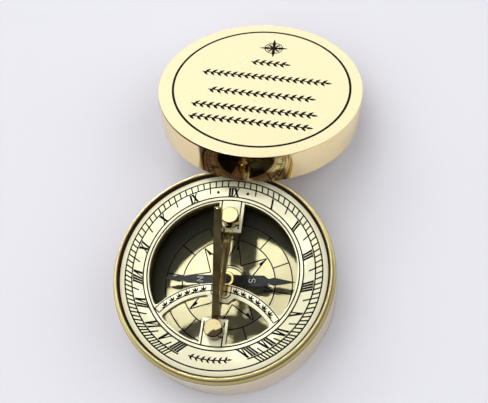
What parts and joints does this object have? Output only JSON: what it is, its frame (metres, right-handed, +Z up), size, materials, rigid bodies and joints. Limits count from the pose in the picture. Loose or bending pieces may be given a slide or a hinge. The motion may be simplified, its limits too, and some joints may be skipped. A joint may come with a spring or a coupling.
{
  "type": "sundial compass",
  "caption": "Brass pocket sundial over a glazed compass, with an open-work gnomon that folds flat and a push-on lid leaning on the case.",
  "frame": {"origin": "middle of the case's flat underside", "axes": "+Z up out of the dial, +Y towards noon (XII) on the hour plate and towards the leaning lid, +X towards the morning side's east"},
  "size_m": [0.0786, 0.1424, 0.0429],
  "materials": {
    "case_brass": "polished, lacquered",
    "plate_brass": "polished, engraved",
    "ring_brass": "turned",
    "card_brass": "satin, engraved",
    "screw_brass": "turned",
    "pin_steel": "ground",
    "needle_black": "blackened steel",
    "jewel_glass": "polished stone",
    "seal_rubber": "matt",
    "window_glass": "clear"
  },
  "bodies": {
    "base": {"case_body": "case_brass", "compass_card": "card_brass", "chamber_ring": "ring_brass", "glass_seal": "seal_rubber", "compass_glass": "window_glass", "spacer_ring": "ring_brass", "hour_plate": "plate_brass", "upper_post": "plate_brass", "lower_post": "plate_brass", "upper_post_screw": "screw_brass", "lower_post_screw": "screw_brass", "upper_hinge_pin": "pin_steel", "lower_hinge_pin": "pin_steel", "pivot_pillar": "ring_brass", "pivot_point": "pin_steel"},
    "gnomon": {"gnomon": "plate_brass"},
    "needle": {"needle_blade": "needle_black", "needle_cap": "ring_brass", "cap_jewel": "jewel_glass"},
    "lid": {"lid": "case_brass"}
  },
  "joints": [
    {"name": "gnomon_fold", "type": "hinge", "parent": "base", "child": "gnomon", "pos_m": [0.0006, 0, 0.0211], "axis": [0, 1, 0], "range_deg": [-90, 90]},
    {"name": "needle_spin", "type": "hinge", "parent": "base", "child": "needle", "pos_m": [0, 0, 0.0088], "axis": [0, 0, 1], "continuous": true},
    {"name": "lid_lift", "type": "slide", "parent": "base", "child": "lid", "axis": [0, 0, 1], "range_m": [0, 0.06]}
  ]
}
